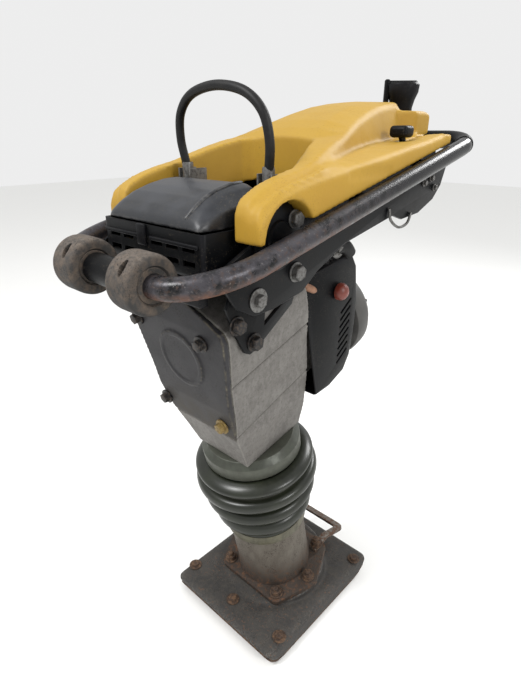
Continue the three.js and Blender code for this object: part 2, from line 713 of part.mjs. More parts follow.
function makeTank() {
  const hood = loft(TANK_ROWS.map((row) => ({ y: row[0], ring: hoodRing(row) })));
  const recess = prism([
    [-108, -230], [108, -230], [106, -100], [89, -56], [68, -10], [56, 2], [30, 6], [-30, 6], [-56, 2],
    [-68, -10], [-89, -56], [-106, -100],
  ], 740, 960, "z");
  const arch = alongX(rod(43, -200, 200, 32)).translate([0, -148, 781]);
  const slot = block([100, 158, 780], [112, 262, 960]);
  const pad = block([TANK_HALF_WIDTH - 1.5, -40, 836], [TANK_HALF_WIDTH + 2, 66, 852]);
  const slit = block([-14, 60, 916], [14, 66, 960]);
  return cut(join(hood, deckPart(), shoulderEnd()), recess, arch, slot, pad, pad.mirror([1, 0, 0]), slit);
}

function makeFuelCap() {
  const body = turned([
    [0, 0], [19, 0], [19, 6], [22, 18], [27, 30], [28, 41], [25, 45], [0, 45],
  ], 12);
  const tab = roundBlock([-32, -5, 8], [-23, 5, 50], 3);
  const wing = roundBlock([-28, -6, 36], [24, 6, 48], 4);
  return join(body, tab, wing).rotate([0, 0, 40]).translate([CAP_AT.x, CAP_AT.y, DECK_HIGH + GAP]);
}

function makeThrottle() {
  const reach = { y: -43, z: 103 };
  const lean = THREE.MathUtils.radToDeg(Math.atan2(reach.y, reach.z));
  const arm = roundBlock([-2.5, -7, -8], [2.5, 7, 92], 2);
  const boss = alongX(rod(11, -5, 5, 20));
  const neck = block([-2.5, -6, 80], [2.5, 6, 106]);
  const lever = join(arm, boss, neck).rotate([-lean, 0, 0]);
  const knob = moved(roundBlock([-15, -14, -8], [15, 14, 9], 6, 3), 0, reach.y, reach.z);
  return join(lever, knob).translate([THROTTLE.x, THROTTLE.y, THROTTLE.z]);
}

// The black tray under the tank, open at the top.
function makeConsole() {
  const top = [[296, 838], [250, tankFloor(250) - 1.5], [-56, tankFloor(-56) - 1.5]];
  const low = [[-60, 744], [0, 752], [130, 772], [160, 766], [215, 770], [262, 788], [286, 810]];
  const outer = prism([...low, ...top], -96, 96, "x", 3);
  const inner = prism(
    [[-52, 752], [0, 758], [130, 778], [160, 772], [213, 776], [256, 794], [278, 820], [240, 900], [-52, 900]],
    -92,
    92,
    "x",
  );
  const reach = PLATE_X - GAP;
  const tie = (y) => block([-reach, y - 10, tubeZ(y) - 20], [reach, y + 10, tubeZ(y) - 12]);
  return join(cut(outer, inner), tie(-30), tie(130));
}

// ---------- air filter ----------
function makeFilterBox() {
  const outer = roundBlock([-100, -240, 738], [100, -128, 800], 6);
  const body = outer.intersect(block([-120, -260, 700], [120, 0, 791]));
  const hollow = block([-96, -236, 742], [96, -132, 830]);
  const slots = [];
  for (let row = 0; row < 2; row += 1) {
    for (let i = 0; i < 6; i += 1) {
      const x = -75 + 30 * i;
      slots.push(block([x - 11, -250, 752 + 17 * row], [x + 11, -230, 759 + 17 * row]));
    }
  }
  const reach = PLATE_X - GAP;
  const tie = block([-reach, -150, 740], [reach, -130, 750]);
  return join(cut(body, hollow, ...slots), tie);
}

const LID_ROWS = [
  [-237, 796, 84, 791.6, 90],
  [-233, 804, 82, 791.6, 93],
  [-223, 814, 80, 791.6, 94],
  [-206, 824, 79, 791.6, 94],
  [-185, 831, 78, 791.6, 94],
  [-160, 836, 77, 791.6, 94],
  [-141, 837, 76, 791.6, 94],
  [-132, 834, 75, 791.6, 92],
  [-128, 826, 74, 791.6, 90],
];

function makeLid() {
  const sections = LID_ROWS.map(([y, top, inner, low, outer]) => {
    const rise = top - low;
    const half = [
      [outer, low],
      [outer, low + 0.25 * rise],
      [outer - 2, low + 0.55 * rise],
      [inner, low + 0.9 * rise],
      [inner - 10, top],
    ];
    return { y, ring: [...half, ...half.map(([x, z]) => [-x, z]).reverse()] };
  });
  return cut(loft(sections), roundBlock([-72, -220, 780], [72, -142, 810], 5));
}

// ---------- lifting bail ----------
function makeLiftBracket() {
  const reach = PLATE_X - GAP;
  const { y } = BAIL_FOOT;
  const bar = block([-reach, y + 14, 790], [reach, y + 40, 796]);
  const lug = (x) => block([x - 1.5, y - 8, 793], [x + 1.5, y + 24, 846]);
  const base = (x) => block([x - 13, y - 8, 790], [x + 13, y + 24, 796]);
  const clevis = (x) => join(base(x), lug(x - 11.5), lug(x + 11.5));
  return join(bar, clevis(BAIL_FOOT.x), clevis(-BAIL_FOOT.x));
}

function makeBail() {
  const { x, y, z } = BAIL_FOOT;
  const path = smooth([
    [-x, y, z - 8], [-x - 2, y - 1, z + 16], [-x - 6, y - 5, z + 48], [-x + 2, y - 9, z + 80],
    [-x + 30, y - 12, z + 102], [0, y - 13, z + 110], [x - 30, y - 12, z + 102], [x - 2, y - 9, z + 80],
    [x + 6, y - 5, z + 48], [x + 2, y - 1, z + 16], [x, y, z - 8],
  ], 34);
  const ferrule = (side) => moved(rod(8, -12, 18, 20), side * x, y, z);
  return join(sweep(path, BAIL_RADIUS, 10), ferrule(1), ferrule(-1));
}

// ---------- assembly ----------
add("sole_plate", makeSole(), STEEL);
add("shoe", makeShoe(), BLACK);
const PLOW_BOLTS = [[-119.5, -118], [0, -122], [119.5, -118], [119.5, 128], [-119.5, 128]];
PLOW_BOLTS.forEach(([x, y], i) => {
  add(`plow_bolt_${i + 1}`, moved(makePlowBolt(SHOE_TOP + GAP), x, y, 0), STEEL);
});
addOnLeg("ram_cylinder", makeRam(), CASTING);
STUDS.forEach(([x, v], i) => {
  const base = FLANGE_HIGH + GAP + (v > 10 ? 8 + GAP : 0);
  addOnLeg(`flange_nut_${i + 1}`, moved(makeBolt(10.5, 13, base, 7), x, v, 0), STEEL);
});
addOnLeg("tow_loop", makeTowLoop(), STEEL);
addOnLeg("ram_cap", rod(RAM_BORE - GAP, CAP_LOW, RAM_TOP - 1, 40, 12.6), BRIGHT);
addOnLeg("spring_lower", makeSpring(RAM_BORE - SPRING_WIRE - 9, SPRING_WIRE, RAM_FLOOR + GAP, PISTON_LOW - GAP, 5), BRIGHT);
addOnLeg("spring_upper", makeSpring(RAM_BORE - SPRING_WIRE - 9, SPRING_WIRE, PISTON_HIGH + GAP, CAP_LOW - GAP, 6), BRIGHT);
addOnLeg("ram_piston", makePiston(), BRIGHT);
addOnLeg("bellows", makeBellows(), RUBBER);

addOnLeg("guide_ring", makeGuideRing(), CASTING);
addOnLeg("crankcase", makeCrankcase(), CASTING);
addOnLeg("front_cover", makeFrontCover(), CASTING);
COVER_BOLTS.forEach(([x, s], i) => addOnLeg(`cover_bolt_${i + 1}`, makeCoverBolt(x, s), STEEL));
addOnLeg("crank_gear", makeCrankGear(), BRIGHT);
addOnLeg("connecting_rod", makeRod(), BRIGHT);
addOnLeg("clutch_pinion", makePinion(), BRIGHT);
addOnLeg("engine_block", makeEngine(), CASTING);
addOnLeg("engine_shroud", makeShroud(), BLACK);
addOnLeg("starter_housing", makeStarter(), CASTING);
addOnLeg("starter_grip", makeStarterGrip(), BLACK);
addOnLeg("muffler", makeMuffler(), BRIGHT);
const primer = alongX(turned([[0, 0], [14, 0], [14, 5], [12, 10], [7, 14], [0, 15.5]], 20));
addOnLeg("primer_bulb", moved(primer, SHROUD_HALF_WIDTH + 3.3, 160, 602), { ...YELLOW, color: 0x7a3326 });
for (const [name, side] of [["right", 1], ["left", -1]]) {
  addOnHandle(`mount_bracket_${name}`, makeBracket(side), BLACK);
  addOnHandle(`side_plate_${name}`, makeSidePlate(side), BLACK);
  addOnHandle(`rubber_mount_${name}`, makeBuffer(side), RUBBER);
  addOnHandle(`roller_${name}`, makeRoller(side), RUBBER);
}
addOnHandle("handle_tube", makeHandleTube(), STEEL);
addOnHandle("fuel_tank", makeTank(), YELLOW);
addOnHandle("fuel_cap", makeFuelCap(), BLACK);
addOnHandle("throttle_lever", makeThrottle(), BLACK);
addOnHandle("console", makeConsole(), BLACK);
addOnHandle("filter_box", makeFilterBox(), BLACK);
addOnHandle("filter_lid", makeLid(), BLACK);
addOnHandle("lift_bracket", makeLiftBracket(), BRIGHT);
addOnHandle("lifting_bail", makeBail(), BLACK);

export default root;
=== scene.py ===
import math

import bmesh
import bpy
from mathutils import Matrix, Vector


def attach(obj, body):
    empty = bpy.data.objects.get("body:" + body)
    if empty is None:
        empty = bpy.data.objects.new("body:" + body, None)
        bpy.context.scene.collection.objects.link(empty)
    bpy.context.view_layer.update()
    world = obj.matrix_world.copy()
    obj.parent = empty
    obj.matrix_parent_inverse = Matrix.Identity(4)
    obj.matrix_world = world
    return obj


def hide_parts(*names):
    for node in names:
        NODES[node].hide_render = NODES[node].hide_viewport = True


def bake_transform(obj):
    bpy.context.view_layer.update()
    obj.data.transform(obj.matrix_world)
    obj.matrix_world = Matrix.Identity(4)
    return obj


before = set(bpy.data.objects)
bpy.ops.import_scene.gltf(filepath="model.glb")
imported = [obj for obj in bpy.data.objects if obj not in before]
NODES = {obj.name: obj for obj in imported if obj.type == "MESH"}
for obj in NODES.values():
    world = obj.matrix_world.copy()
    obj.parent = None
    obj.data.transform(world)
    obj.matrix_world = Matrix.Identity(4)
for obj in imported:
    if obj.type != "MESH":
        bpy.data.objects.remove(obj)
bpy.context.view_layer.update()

# The leg's frame: x across, v backwards, s up the leaning leg, as the CAD draws it.
LEAN = math.radians(11.6)
LEG = Matrix.Translation((0, 0.008, 0.041)) @ Matrix.Rotation(LEAN, 4, "X")
TUBE_RISE = 0.22
TUBE_START = 0.8074
TUBE_RADIUS = 0.0135
FRONT_BAR_Y = -0.294
ROLLER_X = 0.06
PLATE_FACE = 0.1242
BRACKET_FACE = 0.1052

# Where an edge counts as sharp when shading, bevelling and splitting, and how close points weld.
SHARP_ANGLE = math.radians(38)
BEVEL_ANGLE = math.radians(32)
SPLIT_ANGLE = math.radians(34)
WELD_GAP = 0.00002

CAMERA_PLACE = (0.5068, -0.5820, 0.8942)
CAMERA_AZIMUTH = math.radians(43.14)
CAMERA_ELEVATION = math.radians(24.17)
CAMERA_LENS = 25.07


def tube_z(y):
    """Height of the handle tube's centre line at y."""
    return TUBE_START + TUBE_RISE * y


def leg(x, v, s):
    """A point of the leg's frame, given in millimetres."""
    return LEG @ Vector((x / 1000, v / 1000, s / 1000))


# ---------- camera, floor and light ----------
def set_camera():
    azimuth, elevation = CAMERA_AZIMUTH, CAMERA_ELEVATION
    back = Vector(
        (
            math.sin(azimuth) * math.cos(elevation),
            -math.cos(azimuth) * math.cos(elevation),
            math.sin(elevation),
        )
    )
    data = bpy.data.cameras.new("camera")
    data.sensor_width = 36
    data.lens = CAMERA_LENS
    data.clip_start = 0.02
    camera = bpy.data.objects.new("camera", data)
    camera.rotation_mode = "QUATERNION"
    camera.location = CAMERA_PLACE
    camera.rotation_quaternion = (-back).to_track_quat("-Z", "Y")
    bpy.context.scene.collection.objects.link(camera)
    bpy.context.scene.camera = camera


def add_lamp(name, place, target, size, power, colour=(1, 1, 1)):
    data = bpy.data.lights.new(name, "AREA")
    data.shape = "DISK"
    data.size = size
    data.energy = power
    data.color = colour
    lamp = bpy.data.objects.new(name, data)
    lamp.location = place
    lamp.rotation_mode = "QUATERNION"
    lamp.rotation_quaternion = (Vector(target) - Vector(place)).to_track_quat("-Z", "Y")
    bpy.context.scene.collection.objects.link(lamp)


def set_stage():
    mesh = bpy.data.meshes.new("floor")
    mesh.from_pydata([(-9, -9, 0), (9, -9, 0), (9, 9, 0), (-9, 9, 0)], [], [(0, 1, 2, 3)])
    floor = bpy.data.objects.new("floor", mesh)
    bpy.context.scene.collection.objects.link(floor)
    pale = Look("pale_studio_floor", "#f2f2f0", roughness=0.9)
    mesh.materials.append(pale.mat)
    world = bpy.data.worlds.new("studio")
    world.use_nodes = True
    world.node_tree.nodes["Background"].inputs["Color"].default_value = (1, 1, 1, 1)
    world.node_tree.nodes["Background"].inputs["Strength"].default_value = 0.85
    bpy.context.scene.world = world
    add_lamp("key", (-0.6, -1.9, 2.9), (0, 0, 0.6), 0.9, 62)
    add_lamp("side", (2.6, -0.2, 1.9), (0, 0, 0.6), 0.9, 30)
    add_lamp("rear", (0.4, 2.4, 2.2), (0, 0, 0.7), 0.9, 36)
    bpy.context.scene.view_settings.view_transform = "Standard"


# ---------- materials ----------
def linear(code):
    """A #rrggbb colour as linear RGBA."""
    parts = [int(code[i : i + 2], 16) / 255 for i in (1, 3, 5)]
    return tuple(c / 12.92 if c <= 0.04045 else ((c + 0.055) / 1.055) ** 2.4 for c in parts) + (1,)


class Look:
    """A material built from a few layers. Sizes are in millimetres on the real object."""

    def __init__(self, name, base, roughness=0.5, metallic=0.0, **fixed):
        self.mat = bpy.data.materials.new(name)
        self.mat.use_nodes = True
        self.tree = self.mat.node_tree
        self.shader = self.tree.nodes["Principled BSDF"]
        self.colour = linear(base)
        self.rough = roughness
        self.metal = metallic
        self.height = None
        self.shader.inputs["Base Color"].default_value = self.colour
        self.shader.inputs["Roughness"].default_value = roughness
        self.shader.inputs["Metallic"].default_value = metallic
        for key, value in fixed.items():
            self.shader.inputs[key.replace("_", " ")].default_value = value
        self.place = self.node("TexCoord").outputs["Object"]

    def node(self, kind, links=(), **settings):
        made = self.tree.nodes.new("ShaderNode" + kind)
        for key, value in settings.items():
            setattr(made, key, value)
        for socket, value in dict(links).items():
            target = made.inputs[socket]
            if hasattr(value, "is_output"):
                self.tree.links.new(value, target)
            else:
                target.default_value = value
        return made

    def noise(self, size, detail=4.0, rough=0.6, stretch=None):
        place = self.place
        if stretch:
            place = self.node("Mapping", {"Vector": place, "Scale": stretch}).outputs[0]
        links = {"Vector": place, "Scale": 1000 / size, "Detail": detail, "Roughness": rough}
        return self.node("TexNoise", links).outputs["Fac"]

    def band(self, value, low, high, out_low=0.0, out_high=1.0):
        links = {"Value": value, "From Min": low, "From Max": high, "To Min": out_low, "To Max": out_high}
        return self.node("MapRange", links).outputs[0]

    def math(self, operation, a, b=0.0):
        return self.node("Math", {0: a, 1: b}, operation=operation).outputs[0]

    def both(self, a, b):
        return self.math("MULTIPLY", a, b)

    def edges(self, low=0.52, high=0.6):
        """High on sharp outer edges."""
        return self.band(self.node("NewGeometry").outputs["Pointiness"], low, high)

    def hollows(self, low=0.49, high=0.42):
        return self.band(self.node("NewGeometry").outputs["Pointiness"], low, high)

    def facing_up(self, low=0.2, high=0.9):
        normal = self.node("SeparateXYZ", {0: self.node("NewGeometry").outputs["Normal"]})
        return self.band(normal.outputs["Z"], low, high)

    def axis(self, name):
        return self.node("SeparateXYZ", {0: self.place}).outputs[name]

    def blend_value(self, old, new, amount):
        mixed = self.node("Mix", {"Factor": amount}, data_type="FLOAT")
        for socket, value in ((mixed.inputs[2], old), (mixed.inputs[3], new)):
            if hasattr(value, "is_output"):
                self.tree.links.new(value, socket)
            else:
                socket.default_value = value
        return mixed.outputs[0]

    def over(self, amount, code, rough=None, metal=None):
        """Lays a second colour over what is there, as far as amount says."""
        mixed = self.node("Mix", {"Factor": amount}, data_type="RGBA")
        for socket, value in ((mixed.inputs[6], self.colour), (mixed.inputs[7], linear(code))):
            if hasattr(value, "is_output"):
                self.tree.links.new(value, socket)
            else:
                socket.default_value = value
        self.colour = mixed.outputs[2]
        self.tree.links.new(self.colour, self.shader.inputs["Base Color"])
        if rough is not None:
            self.rough = self.blend_value(self.rough, rough, amount)
            self.tree.links.new(self.rough, self.shader.inputs["Roughness"])
        if metal is not None:
            self.metal = self.blend_value(self.metal, metal, amount)
            self.tree.links.new(self.metal, self.shader.inputs["Metallic"])
        return self

    def bump(self, value, depth, strength=1.0):
        """Adds relief, its depth in millimetres."""
        links = {"Height": value, "Distance": depth / 1000, "Strength": strength}
        if self.height is not None:
            links["Normal"] = self.height
        self.height = self.node("Bump", links).outputs[0]
        self.tree.links.new(self.height, self.shader.inputs["Normal"])
        return self

    def speckle(self, size, cover, seed_size=None):
        """Irregular spots of about that size; cover is the share they hold."""
        spots = self.band(self.noise(size, 3.0, 0.7), 0.62 - cover, 0.66 - cover)
        patches = self.band(self.noise(seed_size or size * 9, 2.0), 0.42, 0.62)
        return self.both(spots, patches)


def make_looks():
    looks = {}

    # Rotomoulded polyethylene, scuffed along its edges and specked with soil and fuel stains.
    tank = Look("yellow_polyethylene_moulded", "#ad882e", 0.52, Specular_IOR_Level=0.28)
    tank.over(tank.band(tank.noise(70, 3), 0.35, 0.7, 0, 0.5), "#a17a28", 0.55)
    # Painted light: faces turned up are lightened evenly, as where light falls on the top.
    tank.over(tank.both(tank.facing_up(0.1, 0.8), 0.5), "#b3923f", 0.56)
    tank.over(tank.band(tank.noise(6, 6, 0.75), 0.52, 0.72, 0, 0.35), "#9d7c35", 0.6)
    where = tank.edges(0.515, 0.55)
    grain = tank.band(tank.noise(9, 6, 0.7), 0.5, 0.66, 0, 0.55)
    tank.over(tank.both(where, grain), "#7d6238", 0.7)
    tank.over(tank.both(tank.speckle(1.6, 0.01, 60), 0.6), "#5a4526", 0.8)
    # Painted shade: hollows and creases are darkened.
    tank.over(tank.both(tank.hollows(0.49, 0.45), 0.5), "#86652c", 0.7)
    tank.bump(tank.noise(1.6, 3), 0.08).bump(tank.noise(16, 3), 0.4)
    looks["yellow_plastic"] = tank

    # Injection-moulded black plastic, fine spark-eroded grain, dust on whatever faces up.
    black = Look("black_polyamide_moulded", "#050608", 0.4, Specular_IOR_Level=0.13)
    where = black.facing_up(0.3, 1.0)
    grain = black.band(black.noise(12, 5), 0.42, 0.7, 0.0, 0.25)
    black.over(black.both(where, grain), "#2c2a27", 0.7)
    black.over(black.both(black.edges(0.53, 0.62), 0.35), "#38373c", 0.5)
    black.over(black.both(black.speckle(1.8, 0.02, 25), 0.35), "#6b6255", 0.85)
    black.bump(black.noise(0.7, 2), 0.07).bump(black.noise(22, 3), 0.25)
    looks["black_plastic"] = black

    # The filter's lid: the same plastic, greyer, brushed by dust and wear.
    lid = Look("grey_polyamide_lid", "#1d1f23", 0.36, Specular_IOR_Level=0.4)
    where = lid.facing_up(0.35, 1.0)
    grain = lid.band(lid.noise(30, 5), 0.36, 0.66, 0.1, 0.7)
    lid.over(lid.both(where, grain), "#404247", 0.5)
    lid.over(lid.both(lid.edges(0.51, 0.56), lid.band(lid.noise(8, 4), 0.4, 0.6, 0, 0.5)), "#6b6a68", 0.55)
    lid.over(lid.both(lid.speckle(1.4, 0.02, 40), 0.4), "#7d735f", 0.85)
    lid.bump(lid.noise(1.1, 3), 0.1)
    looks["lid"] = lid

    # Black powder coat on steel plate, chipped to rust at its edges.
    coat = Look("black_powder_coat_on_steel", "#050608", 0.36, Specular_IOR_Level=0.13)
    where = coat.edges(0.56, 0.68)
    grain = coat.band(coat.noise(6, 4), 0.5, 0.6, 0, 0.7)
    coat.over(coat.both(where, grain), "#4a3a2e", 0.7, 0.3)
    coat.over(coat.both(coat.speckle(1.6, 0.0, 30), 0.6), "#4a3d33", 0.85)
    coat.over(coat.band(coat.noise(30, 4), 0.5, 0.75, 0, 0.3), "#171513", 0.6)
    coat.bump(coat.noise(1.2, 3), 0.08)
    looks["black_paint"] = coat

    # Drawn steel tube: coat glossy at the operator's end, worn to brown steel at the front.
    tube = Look("coated_steel_tube_worn", "#050608", 0.24, 0.0, Specular_IOR_Level=0.3)
    front = tube.band(tube.axis("Y"), 0.10, -0.16)
    patches = tube.band(tube.noise(24, 5, 0.65), 0.38, 0.56)
    bare = tube.both(front, patches)
    tube.over(bare, "#48464a", 0.36, 0.6)
    tube.over(tube.both(front, tube.band(tube.noise(7, 6, 0.75), 0.52, 0.66, 0, 0.7)), "#4a382e", 0.7, 0.2)
    where = tube.facing_up(-0.1, -0.8)
    grain = tube.both(front, tube.band(tube.noise(12, 5), 0.35, 0.6))
    tube.over(tube.both(where, grain), "#684532", 0.75, 0.1)
    tube.over(tube.both(tube.speckle(2, 0.03, 40), 0.8), "#1b1614", 0.7)
    tube.over(tube.both(front, tube.band(tube.noise(3, 5, 0.7), 0.6, 0.7, 0, 0.5)), "#8a8581", 0.4, 0.7)
    tube.bump(tube.noise(2.5, 4), 0.15)
    looks["tube"] = tube

    # Sand-cast aluminium, grey with dust and streaks of dried soil.
    cast = Look("sand_cast_aluminium_dusty", "#6b6864", 0.6, 0.2, Specular_IOR_Level=0.35)
    cast.over(cast.band(cast.noise(45, 5), 0.4, 0.68, 0, 0.6), "#565350", 0.75, 0.1)
    cast.over(cast.band(cast.noise(14, 6, 0.8, (1.2, 1.2, 0.7)), 0.45, 0.66, 0, 0.6), "#7e7b77", 0.6, 0.15)
    cast.over(cast.band(cast.noise(5.5, 6, 0.75), 0.5, 0.7, 0, 0.55), "#4a4641", 0.85)
    cast.over(cast.both(cast.speckle(1.6, 0.03, 30), 0.5), "#35302b", 0.85)
    # Painted shade: hollows and recesses of the casting are darkened.
    cast.over(cast.both(cast.hollows(0.49, 0.45), 0.75), "#3b3733", 0.9, 0)
    cast.over(cast.both(cast.edges(0.515, 0.57), 0.5), "#99968f", 0.5, 0.4)
    cast.bump(cast.noise(2.2, 4, 0.7), 0.22).bump(cast.noise(24, 3), 0.35)
    looks["cast_alloy"] = cast

    # The front cover: the same casting under grey paint and a film of oily dust.
    cover = Look("grey_paint_on_casting", "#262528", 0.5, 0.1, Specular_IOR_Level=0.3)
    cover.over(cover.band(cover.noise(60, 4), 0.4, 0.7, 0, 0.7), "#1e1d20", 0.6)
    cover.over(cover.band(cover.noise(5, 6, 0.75), 0.5, 0.68, 0, 0.5), "#363432", 0.6)
    where = cover.edges(0.512, 0.56)
    grain = cover.band(cover.noise(14, 4), 0.4, 0.6, 0, 0.7)
    cover.over(cover.both(where, grain), "#7b7462", 0.7, 0.2)
    where = cover.band(cover.axis("Z"), 0.56, 0.47)
    grain = cover.band(cover.noise(22, 5), 0.35, 0.6, 0.2, 0.8)
    cover.over(cover.both(where, grain), "#4c473f", 0.85)
    cover.over(cover.both(cover.speckle(2.2, 0.05, 36), 0.6), "#2e2a26", 0.9)
    cover.bump(cover.noise(1.8, 4, 0.7), 0.2)
    looks["cover"] = cover

    # Ram cylinder: the casting browned by rust running down from its bolts.
    ram = Look("cast_alloy_rust_stained", "#5d574e", 0.5, 0.3)
    ram.over(ram.band(ram.noise(30, 5, stretch=(1, 1, 0.35)), 0.42, 0.64, 0, 0.75), "#49423a", 0.75)
    ram.over(ram.band(ram.axis("Z"), 0.15, 0.07), "#352c25", 0.8, 0.15)
    ram.over(ram.both(ram.speckle(2.6, 0.07, 24), 0.8), "#2b211b", 0.9)
    where = ram.band(ram.axis("Z"), 0.13, 0.07)
    grain = ram.band(ram.noise(9, 6, 0.7), 0.5, 0.64, 0, 0.8)
    ram.over(ram.both(where, grain), "#5d3f2a", 0.9)
    ram.bump(ram.noise(2.4, 4, 0.7), 0.25)
    looks["ram"] = ram

    # Grey-green painted collar that holds the top of the boot.
    ring = Look("grey_green_paint_on_casting", "#41443b", 0.36, 0.3)
    ring.over(ring.band(ring.noise(16, 5), 0.42, 0.64, 0, 0.6), "#2f3029", 0.6)
    ring.over(ring.both(ring.edges(0.52, 0.58), 0.5), "#77776c", 0.6)
    ring.bump(ring.noise(2.0, 4), 0.15)
    looks["ring"] = ring

    # Bellows: extruded rubber with a soft shine, dust lying in the folds.
    boot = Look("olive_nitrile_rubber", "#171a12", 0.3, Specular_IOR_Level=0.45)
    boot.over(boot.band(boot.noise(40, 4), 0.4, 0.7, 0, 0.6), "#25291c", 0.3)
    boot.over(boot.both(boot.hollows(0.497, 0.45), 0.5), "#3a372c", 0.7)
    where = boot.facing_up(0.25, 0.95)
    grain = boot.band(boot.noise(9, 5), 0.45, 0.7, 0.0, 0.25)
    boot.over(boot.both(where, grain), "#33352b", 0.4)
    boot.over(boot.both(boot.speckle(1.0, 0.0, 22), 0.25), "#4d493b", 0.6)
    boot.bump(boot.noise(30, 2), 0.1)
    looks["bellows_rubber"] = boot

    cuff = Look("olive_plated_steel_band", "#5a5746", 0.4, 0.35)
    cuff.over(cuff.band(cuff.noise(12, 5, 0.7, (1, 1, 0.4)), 0.42, 0.62, 0, 0.8), "#3f3c30", 0.6, 0.1)
    cuff.bump(cuff.noise(3, 3), 0.05)
    looks["cuff"] = cuff

    # Solid rubber rollers, scuffed pale and packed with dried soil.
    tyre = Look("solid_rubber_scuffed", "#2b2927", 0.7)
    tyre.over(tyre.band(tyre.noise(12, 6, 0.7), 0.42, 0.62), "#54493f", 0.85)
    where = tyre.facing_up(0.0, 0.8)
    grain = tyre.band(tyre.noise(5, 6, 0.7), 0.38, 0.62, 0.1, 0.7)
    tyre.over(tyre.both(where, grain), "#6f655c", 0.88)
    tyre.over(tyre.both(tyre.speckle(2.0, 0.05, 20), 0.9), "#1d1a18", 0.9)
    # Painted shade: faces turned down darken to near black, as under the rollers.
    tyre.over(tyre.facing_up(-0.15, -0.85), "#171616", 0.8)
    tyre.bump(tyre.noise(3.2, 5, 0.7), 0.5)
    looks["roller"] = tyre

    # Black rubber for buffers, the bail's hose and seals.
    rubber = Look("black_rubber", "#0d0d0e", 0.5, Specular_IOR_Level=0.3)
    rubber.over(rubber.band(rubber.noise(9, 4), 0.48, 0.7, 0, 0.35), "#2f2d2a", 0.7)
    rubber.bump(rubber.noise(1.2, 3), 0.08)
    looks["mount_rubber"] = rubber

    # Composite shoe, its edges worn grey and its top gritty with soil.
    shoe = Look("fibre_composite_shoe_worn", "#2a2826", 0.68)
    shoe.over(shoe.band(shoe.noise(34, 5), 0.4, 0.66, 0, 0.8), "#3a3733", 0.8)
    where = shoe.facing_up(0.3, 0.9)
    grain = shoe.band(shoe.noise(10, 6, 0.7), 0.45, 0.65, 0.0, 0.5)
    shoe.over(shoe.both(where, grain), "#4b463f", 0.9)
    where = shoe.edges(0.506, 0.53)
    grain = shoe.band(shoe.noise(5, 6, 0.7), 0.45, 0.65, 0, 0.7)
    shoe.over(shoe.both(where, grain), "#6b6863", 0.75)
    shoe.over(shoe.both(shoe.speckle(2.2, 0.08, 20), 0.7), "#211d1a", 0.9)
    shoe.over(shoe.both(shoe.speckle(4.5, 0.02, 60), 0.6), "#6b4a33", 0.9)
    shoe.bump(shoe.noise(3.5, 6, 0.75), 0.9).bump(shoe.noise(40, 3), 1.2)
    looks["shoe_composite"] = shoe

    # Rolled steel, rusted all over and rubbed bright only where it is struck.
    rust = Look("hot_rolled_steel_rusted", "#3d3028", 0.7, 0.35)
    rust.over(rust.band(rust.noise(5, 6, 0.75), 0.42, 0.6), "#6b523d", 0.82)
    rust.over(rust.band(rust.noise(18, 4), 0.45, 0.65, 0, 0.8), "#2b211c", 0.75)
    rust.over(rust.both(rust.edges(0.55, 0.68), 0.3), "#8a7762", 0.5, 0.6)
    rust.bump(rust.noise(1.6, 5, 0.75), 0.25)
    looks["worn_steel"] = rust

    # Tow loop: the same rusted steel under what is left of a grey coat.
    loop = Look("grey_coat_on_rusted_bar", "#625d56", 0.55, 0.4)
    loop.over(loop.band(loop.noise(9, 5, 0.7), 0.42, 0.56), "#4f3626", 0.85, 0.1)
    loop.bump(loop.noise(1.8, 4), 0.2)
    looks["loop"] = loop

    # Zinc-plated bolts and brackets, dulled.
    zinc = Look("zinc_plated_steel_dull", "#6f6e6c", 0.42, 0.7)
    zinc.over(zinc.band(zinc.noise(4, 5), 0.45, 0.64, 0, 0.85), "#3f3b37", 0.65, 0.4)
    zinc.bump(zinc.noise(1.2, 4), 0.06)
    looks["zinc"] = zinc

    # Black-oxide bolts, brown where the oil has gone.
    dark = Look("black_oxide_steel", "#252424", 0.45, 0.6)
    dark.over(dark.band(dark.noise(4, 5), 0.48, 0.64, 0, 0.8), "#4a3f36", 0.7, 0.3)
    dark.bump(dark.noise(1.2, 4), 0.06)
    looks["dark_bolt"] = dark

    # Ground and oiled steel inside the drive.
    ground = Look("ground_oiled_steel", "#a3a29e", 0.28, 1.0)
    ground.over(ground.band(ground.noise(12, 4), 0.45, 0.7, 0, 0.5), "#7b7567", 0.4)
    ground.bump(ground.noise(0.8, 2, stretch=(1, 1, 8)), 0.02)
    looks["machined_steel"] = ground

    # Muffler box: heat-browned plated steel.
    pot = Look("heat_browned_steel", "#736a60", 0.5, 0.7)
    pot.over(pot.band(pot.noise(30, 5), 0.42, 0.62), "#5c4431", 0.75, 0.3)
    pot.bump(pot.noise(1.6, 4), 0.12)
    looks["muffler_steel"] = pot

    # Primer dome and cable seals: red-brown silicone.
    primer = Look("red_brown_silicone", "#6b2c20", 0.35)
    primer.over(primer.band(primer.noise(6, 4), 0.46, 0.66, 0, 0.7), "#5c2c22", 0.6)
    primer.bump(primer.noise(1.5, 3), 0.08)
    looks["primer_rubber"] = primer

    # Fuel and breather hose: tan rubber, aged.
    tan = Look("tan_rubber_hose", "#8a6248", 0.55)
    tan.over(tan.band(tan.noise(6, 4), 0.45, 0.65, 0, 0.6), "#5f4434", 0.7)
    tan.bump(tan.noise(1.4, 3), 0.08)
    looks["tan"] = tan

    # Brass plug for the oil sight.
    brass = Look("turned_brass_tarnished", "#7d6a3d", 0.5, 0.6)
    brass.over(brass.band(brass.noise(4, 4), 0.45, 0.66, 0, 0.8), "#5a4426", 0.7, 0.3)
    brass.bump(brass.noise(1.0, 3), 0.05)
    looks["brass"] = brass

    # Starter housing: grey moulded plastic, dusty.
    grey = Look("grey_polyamide_housing", "#3e3d3b", 0.55)
    grey.over(grey.band(grey.noise(28, 5), 0.4, 0.66, 0, 0.7), "#4f4d4a", 0.7)
    # Painted shade: hollows of the housing are darkened.
    grey.over(grey.both(grey.hollows(0.49, 0.44), 0.8), "#262422", 0.8)
    grey.bump(grey.noise(1.4, 3), 0.1)
    looks["starter"] = grey
    return looks


